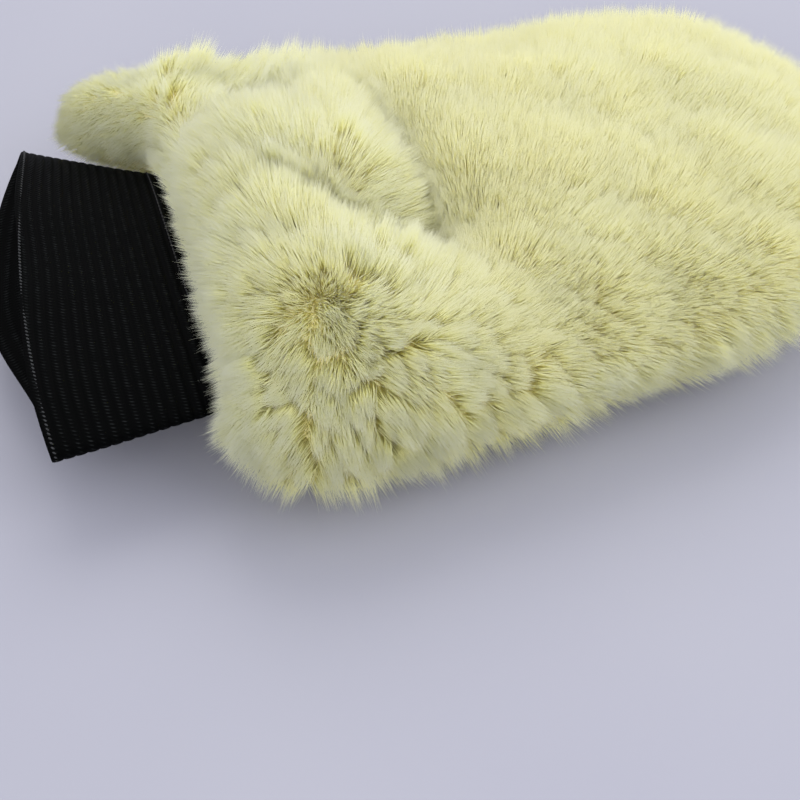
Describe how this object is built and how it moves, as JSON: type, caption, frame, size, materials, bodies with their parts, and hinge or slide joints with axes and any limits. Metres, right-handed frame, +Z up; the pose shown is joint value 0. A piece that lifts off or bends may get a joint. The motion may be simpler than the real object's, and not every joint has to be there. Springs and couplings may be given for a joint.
{
  "type": "wash mitt",
  "caption": "Long-pile plush wash mitt with an open hand pocket and a ribbed elastic cuff that flexes at the wrist seam.",
  "frame": {"origin": "under the middle of the whole mitt, on the surface that it lies on", "axes": "+X from the cuff's mouth to the finger end, +Y across the hand, +Z up"},
  "size_m": [0.296, 0.184, 0.062],
  "materials": {
    "plush": "long soft pile",
    "lining": "smooth knit",
    "pale_thread": "spun thread",
    "elastic": "ribbed woven elastic",
    "black_thread": "spun thread"
  },
  "bodies": {
    "mitt": {"back_plush_panel": "plush", "palm_plush_panel": "plush", "back_lining": "lining", "palm_lining": "lining", "shell_edge_seam": "pale_thread", "lining_edge_seam": "pale_thread"},
    "cuff": {"elastic_cuff": "elastic", "wrist_seam_stitching": "black_thread", "cuff_closing_seam": "black_thread"}
  },
  "joints": [
    {"name": "wrist_flex", "type": "hinge", "parent": "mitt", "child": "cuff", "pos_m": [-0.091, 0, 0.0295], "axis": [0, 1, 0], "range_deg": [-25, 30]}
  ]
}
